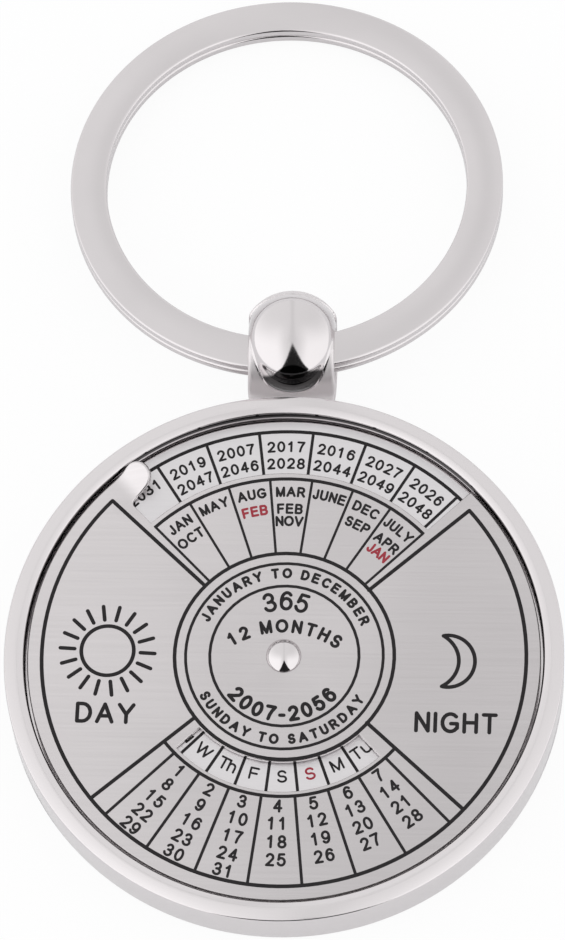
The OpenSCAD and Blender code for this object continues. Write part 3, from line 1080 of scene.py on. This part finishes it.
SIGN_PEN = 0.28
SIGN_TURN = -0.2
MOON = (12.34, -0.06)
MOON_R = 1.97
MOON_OUTER = (0.62, 0.98, 1.0, 97)
MOON_INNER = (2.3, 1.25, 1.15, -58)
SIGN_STEP = 6
SIGN_WORDS = (("DAY", -12.5, -4.73, 1.6), ("NIGHT", 12.45, -4.71, 1.6))
HUB_WORDS = (
    ("JANUARY TO DECEMBER", 6.32, 90, 0.8, WORD_PEN, False, 0.26, (0, 0)),
    ("SUNDAY TO SATURDAY", 6.32, 270, 0.8, WORD_PEN, True, 0.24, (0, 0)),
    ("365", 4.2, 90, 1.5, BOOK_PEN, False, LETTER_GAP, (0, 0)),
    ("12 MONTHS", 6.97, 90, 1.05, BOLD_PEN, False, 0.24, (0, -4.7)),
    ("2007-2056", 4.42, 270.7, 1.2, BOLD_PEN, True, 0.13, (0, 0)),
)

dial_black = Print(DIAL_Z, DIAL_TURN)
dial_red = Print(DIAL_Z, DIAL_TURN)
for radius, pen in ((INNER_RING, THIN_LINE), (OUTER_RING, THIN_LINE), (HUB_RING, HUB_LINE)):
    dial_black.arc(radius, 0, 360, pen, HUB_ASIDE)
dial_black.arc(FIELD_RIM, 90 + TOP_SIDES[1] + SIGN_TURN, 450 - TOP_SIDES[1] + SIGN_TURN, HEAVY_LINE)
dial_black.arc(MONTH_RIM, 90 - NOTCH_HALF - MONTH_OVER, 90 + NOTCH_HALF + MONTH_OVER, FINE_LINE)
dial_black.fan(90 - NOTCH_HALF, CELL, WEEK + 1, (HUB_RING, MONTH_RIM), MONTH_LINE)
dial_black.arc(DATE_RIM, 270 - DATE_HALF, 270 + DATE_HALF, FINE_LINE)
dial_black.fan(DATE_MID - WEEK / 2 * DATE_CELL, DATE_CELL, WEEK + 1, (DATE_RIM, FIELD_RIM), SIDE_LINE)
for column, names in enumerate(MONTHS):
    off = 90 + NOTCH_HALF - (column + 0.5) * CELL
    for row, month in enumerate(names):
        inked = dial_red if (column, row) in LEAP_MONTHS else dial_black
        inked.write(month, MONTH_ROWS[row], off, MONTH_HEIGHT, BOLD_PEN, gap=MONTH_GAPS[row])
for date in range(DATES):
    row, column = divmod(date, WEEK)
    off = DATE_MID + (column + 0.5 - WEEK / 2) * DATE_CELL
    dial_black.write(str(date + 1), DATE_ROWS[row], off, DATE_HEIGHT, DATE_PEN, inward=True)
for word, radius, off, height, pen, inward, gap, about in HUB_WORDS:
    dial_black.write(word, radius, off, height, pen, inward, gap, about=about)


def crescent(x, y, radius):
    """The outline of a crescent moon: a wide outer arc and a flatter inner one."""
    line = []
    for left, wide, tall, half in (MOON_OUTER, MOON_INNER):
        line += bow(x - left, y, radius * wide, radius * tall, half, -half, SIGN_STEP)
    return [line + line[:1]]


sides = []
for way in (1, -1):
    for middle, (low, high) in ((90, TOP_SIDES), (270, BOTTOM_SIDES)):
        sides.append([polar(HUB_RING, middle + way * low), polar(FIELD_RIM, middle + way * high)])
sign_meshes = [pen_solid("field_sides", sides, HEAVY_LINE)]
sign_meshes.append(pen_solid("sun_disc", [bow(*SUN, SUN_R, SUN_R, 0, 360, SIGN_STEP)], SIGN_PEN))
rays = []
for k in range(RAYS):
    way = polar(1, (k - RAY_OFF) * 360 / RAYS)
    rays.append([(SUN[0] + way.x * r, SUN[1] + way.y * r) for r in RAY])
sign_meshes.append(pen_solid("sun_rays", rays, SIGN_PEN))
sign_meshes.append(pen_solid("moon", crescent(*MOON, MOON_R), SIGN_PEN))
for word, x, y, height in SIGN_WORDS:
    row, length = dial_black.letters(word, SIGN_PEN / height)
    strokes = []
    for _, letter, at in row:
        left = x + (at - length / 2) * height
        strokes += [[(left + px * height, y + py * height) for px, py in stroke] for stroke in letter]
    sign_meshes.append(pen_solid(word.lower(), strokes, SIGN_PEN))
lift = (Matrix.Rotation(radians(DIAL_TURN + SIGN_TURN), 4, "Z")
        @ Matrix.Translation((0, 0, DIAL_Z * MM)) @ Matrix.Scale(MM, 4))
for mesh in sign_meshes:
    mesh.transform(lift)
for name, work, finish, extra in (("dial_print", dial_black, ink, sign_meshes),
                                  ("dial_print_red", dial_red, ink_red, ())):
    lettering = printed(name, work, finish, extra)
    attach(lettering, "dial")


# Split ring: flat spring-steel wire with rolled round edges, nickel plated, wound in two turns with a
# step between them. It hangs loose in the lug, with its far end down on the table.
RING = {"Middle radius": 14.615, "Wire width": 2.67, "Wire thickness": 0.7, "Wire edge": 0.2,
        "First angle": 282.34, "Last angle": 983.66, "Step from": 625.16, "Step to": 640.84,
        "Upper": 0.37, "Lower": -0.37}
RING_TILT = -6.769
RING_MIDDLE = (-0.85, 37.289, 2.615)
RING_POINTS = 480
RING_SHARP = radians(40)
RING_ROUGH = 0.08
WIRE_STEPS = 6

ring_tree, ring = shape_tree("coil_wire", dict.fromkeys(RING, "Float") | {
    "Points": "Int", "Tilt": "Vector", "Middle": "Vector", "Finish": "Material"})
coil = ring["Points"].node("GeometryNodeCurvePrimitiveLine", {"End": (1.0, 0.0, 0.0)})
coil = coil.node("GeometryNodeResampleCurve", {"Curve": coil, "Count": ring["Points"]})
share = coil.node("GeometryNodeSplineParameter", {})
angle = share.node("ShaderNodeMapRange", {
    "Value": share, "To Min": ring["First angle"], "To Max": ring["Last angle"]})
height = share.node("ShaderNodeMapRange", {
    "Value": angle, "From Min": ring["Step from"], "From Max": ring["Step to"],
    "To Min": ring["Upper"], "To Max": ring["Lower"]}, interpolation_type="SMOOTHSTEP")
turn = angle * radians(1)
spot = turn.node("ShaderNodeCombineXYZ", {
    "X": turn.math("COSINE") * ring["Middle radius"], "Y": turn.math("SINE") * ring["Middle radius"],
    "Z": height})
coil = coil.node("GeometryNodeSetPosition", {"Geometry": coil, "Position": spot})
coil = coil.node("GeometryNodeSetCurveNormal", {"Curve": coil}, mode="Z_UP")
wire = ring["Wire width"].node("GeometryNodeCurvePrimitiveQuadrilateral", {
    "Width": ring["Wire width"], "Height": ring["Wire thickness"]})
wire = wire.node("GeometryNodeFilletCurve", {
    "Curve": wire, "Radius": ring["Wire edge"], "Count": WIRE_STEPS}, mode="POLY")
metal = coil.node("GeometryNodeCurveToMesh", {"Curve": coil, "Profile Curve": wire, "Fill Caps": True})
metal = metal.node("GeometryNodeTransform", {
    "Geometry": metal, "Scale": (MM, MM, MM), "Rotation": ring["Tilt"], "Translation": ring["Middle"]})
metal = metal.node("GeometryNodeSetShadeSmooth", {"Geometry": metal})
tree_end(metal, ring["Finish"])
ring_finish = plated("ring_nickel", NICKEL, NICKEL_DULL, RING_ROUGH)
ring_mesh = grown(ring_tree, "ring_coil", RING | {
    "Points": RING_POINTS, "Tilt": (radians(RING_TILT), 0, 0),
    "Middle": [side * MM for side in RING_MIDDLE], "Finish": ring_finish})
ring_mesh.set_sharp_from_angle(angle=RING_SHARP)
split_ring = piece(ring_mesh, ring_finish)
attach(split_ring, "ring")
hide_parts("split_ring")


# Studio: a white floor in a soft white tent, which is brighter at both sides in front and has a dark
# wedge in front, under the camera. Polished metal shows the wedge as its one dark reflection.
FLOOR_SIZE = 6.0
FLOOR_WHITE = (0.86, 0.86, 0.87, 1.0)
FLOOR_ROUGH = 0.9
WHITE = (1.0, 1.0, 1.0, 1.0)
FLOOR_GAP = 0.03
FLOOR_SHOWN = 0.92
GLOSS_SHOWN = 0.35
TENT_LEVEL = 1.0
TENT_GAIN = 0.38
TENT_FROM = -0.7
TENT_SIDE = 0.45
TENT_WAY = (0.0, -0.7, -0.45)
TENT_LEFT = 0.05
TENT_TURN = 0.05
WEDGE_TOP = 70.3
WEDGE_LEFT = 0.006
WEDGE_RIGHT = 0.0075
WEDGE_WIDEST = 64.8
WEDGE_SOFT = 0.03
WEDGE_DEPTH = 0.98
SEAM_RUN = (-0.02, 0.05)
SEAM_HALF = 0.1
SEAM_DEPTH = 0.1
CAMERA_SPOT = (18.45, -149.37, 401.43)
CAMERA_RIGHT = (0.99895, 0.02838, -0.03587)
CAMERA_UP = (-0.01259, 0.92453, 0.38091)
CAMERA_BACK = (0.04397, -0.38006, 0.92392)
FOCAL_PIXELS = 5961.5
IMAGE_HEIGHT = 940
SENSOR = 36.0

scene = bpy.context.scene
scene.view_settings.view_transform = "Standard"


def seen_share(tree):
    """A feed that is one for what the camera sees, also through glass, and less in gloss."""
    light = tree.nodes.new("ShaderNodeLightPath")
    seen = Feed(tree, light.outputs["Is Camera Ray"])
    seen = seen.math("MAXIMUM", Feed(tree, light.outputs["Is Transmission Ray"]))
    return seen.math("MAXIMUM", Feed(tree, light.outputs["Is Glossy Ray"]) * GLOSS_SHOWN)


floor_finish, floor_shader, floor_place = finish_of("floor_paper", {
    "Base Color": FLOOR_WHITE, "Roughness": FLOOR_ROUGH})
floor_tree = floor_finish.node_tree
glow = floor_place.node("ShaderNodeEmission", {"Color": WHITE, "Strength": 1.0})
paper = Feed(floor_tree, floor_shader.outputs[0])
blend = glow.node("ShaderNodeMixShader", {0: seen_share(floor_tree) * FLOOR_SHOWN, 1: paper, 2: glow})
blend.into(floor_tree.nodes["Material Output"], "Surface")
work = bmesh.new()
bmesh.ops.create_grid(work, x_segments=1, y_segments=1, size=FLOOR_SIZE / 2)
bmesh.ops.translate(work, verts=work.verts, vec=(0, 0, -FLOOR_GAP * MM))
floor = piece(plain_mesh("floor", work), floor_finish)

world = bpy.data.worlds.new("tent")
world.use_nodes = True
scene.world = world
tent = world.node_tree
toward = Feed(tent, tent.nodes.new("ShaderNodeTexCoord").outputs["Generated"])
away = part_of(toward, 1)
climb = part_of(toward, 2).math("ARCSINE") * degrees(1)
across = dotted(toward, CAMERA_RIGHT)
aside = across.math("ABSOLUTE")
slope = eased(across, -TENT_TURN, TENT_TURN) * (WEDGE_RIGHT - WEDGE_LEFT) + WEDGE_LEFT
spread = (WEDGE_TOP - climb).math("MINIMUM", WEDGE_WIDEST) * slope
wedge = eased(spread - aside, 0.0, WEDGE_SOFT) * eased(away, TENT_TURN, -TENT_TURN)
seam = (1.0 - eased(aside, 0.0, SEAM_HALF)) * eased(away, *(CAMERA_BACK[1] + end for end in SEAM_RUN))
front = eased(dotted(toward, TENT_WAY), TENT_FROM, 0.0) * eased(aside, 0.0, TENT_SIDE)
level = front * TENT_GAIN + TENT_LEVEL - across * TENT_LEFT
level = level * (1.0 - wedge * WEDGE_DEPTH) * (1.0 - seam * SEAM_DEPTH)
straight = Feed(tent, tent.nodes.new("ShaderNodeLightPath").outputs["Is Camera Ray"])
backdrop = tent.nodes["Background"]
backdrop.inputs["Color"].default_value = WHITE
level.math("MAXIMUM", straight).into(backdrop, "Strength")

view = bpy.data.cameras.new("view")
view.sensor_width = SENSOR
view.lens = FOCAL_PIXELS / IMAGE_HEIGHT * SENSOR
camera = bpy.data.objects.new("view", view)
axes = (CAMERA_RIGHT, CAMERA_UP, CAMERA_BACK, [side * MM for side in CAMERA_SPOT])
camera.matrix_world = Matrix([[axis[row] for axis in axes] for row in range(3)] + [[0, 0, 0, 1]])
scene.collection.objects.link(camera)
scene.camera = camera
